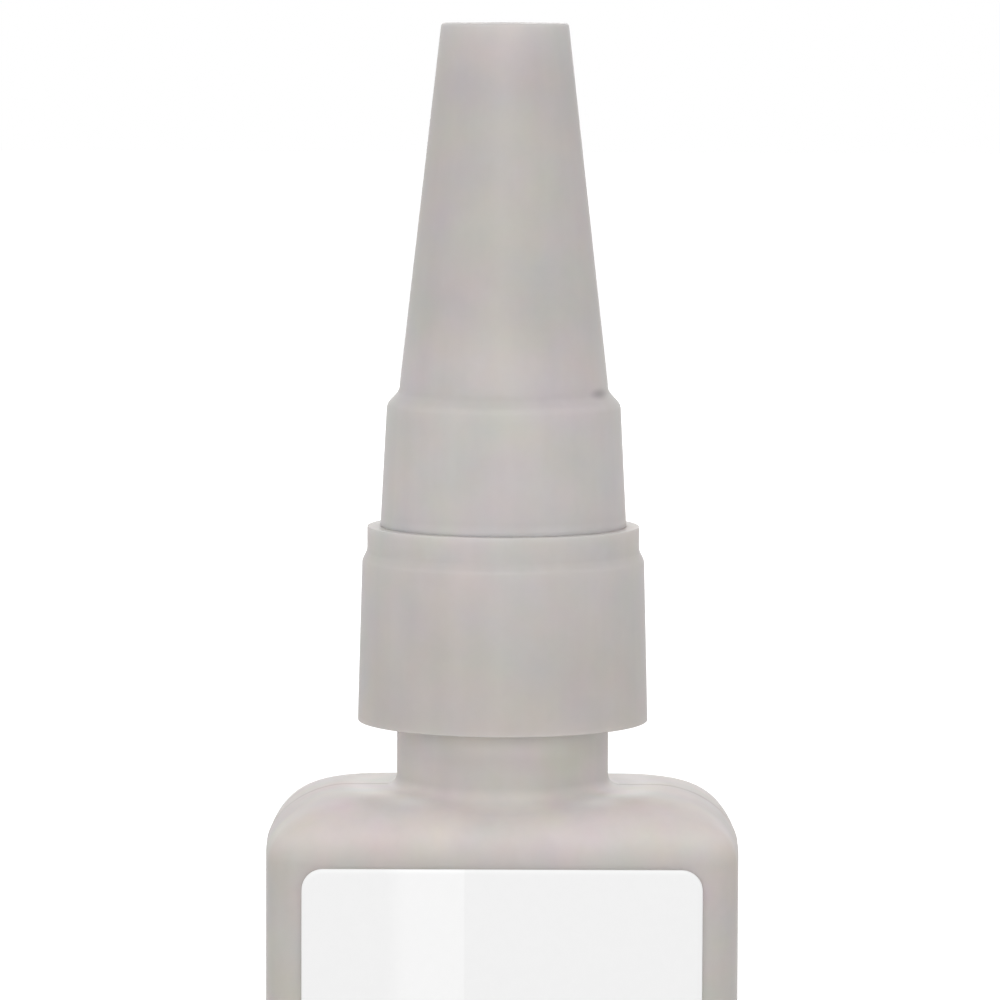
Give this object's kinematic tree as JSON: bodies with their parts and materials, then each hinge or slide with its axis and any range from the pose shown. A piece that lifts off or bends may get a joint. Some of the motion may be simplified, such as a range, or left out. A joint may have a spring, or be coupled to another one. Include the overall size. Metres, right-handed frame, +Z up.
{
  "type": "super glue bottle",
  "caption": "Flat rounded squeeze bottle for super glue with a white label, a screw-on nozzle with a smooth collar and a tall cone-shaped screw cap.",
  "frame": {"origin": "centre of the bottle's footprint, on the plane that its base ring stands on", "axes": "+Z up along the axis of the neck, nozzle and cap; X across the label; the front label faces -Y"},
  "size_m": [0.0332, 0.0228, 0.1063],
  "materials": {
    "bottle_plastic": "satin",
    "label_film": "satin",
    "liquid_glue": "gloss",
    "gasket_foam": "matte",
    "nozzle_plastic": "satin",
    "pin_steel": "satin",
    "cap_plastic": "satin"
  },
  "bodies": {
    "bottle_body": {"bottle": "bottle_plastic", "front_label": "label_film", "back_label": "label_film", "adhesive_fill": "liquid_glue"},
    "gasket_body": {"neck_gasket": "gasket_foam"},
    "nozzle_body": {"nozzle": "nozzle_plastic"},
    "pin_body": {"sealing_pin": "pin_steel"},
    "cap_body": {"cap": "cap_plastic"}
  },
  "joints": [
    {"name": "nozzle_rise", "type": "slide", "parent": "bottle_body", "child": "gasket_body", "axis": [0, 0, 1], "range_m": [0, 0.0135]},
    {"name": "nozzle_turn", "type": "hinge", "parent": "gasket_body", "child": "nozzle_body", "pos_m": [0, 0, 0.0695], "axis": [0, 0, 1], "range_deg": [0, 1621]},
    {"name": "cap_rise", "type": "slide", "parent": "nozzle_body", "child": "pin_body", "axis": [0, 0, 1], "range_m": [0, 0.036]},
    {"name": "cap_turn", "type": "hinge", "parent": "pin_body", "child": "cap_body", "pos_m": [0, 0, 0.1037], "axis": [0, 0, 1], "range_deg": [0, 2161]}
  ],
  "couplings": [
    {"joint": "nozzle_turn", "follows": "nozzle_rise", "rad_per_m": 2094.4},
    {"joint": "cap_turn", "follows": "cap_rise", "rad_per_m": 1047.2}
  ]
}
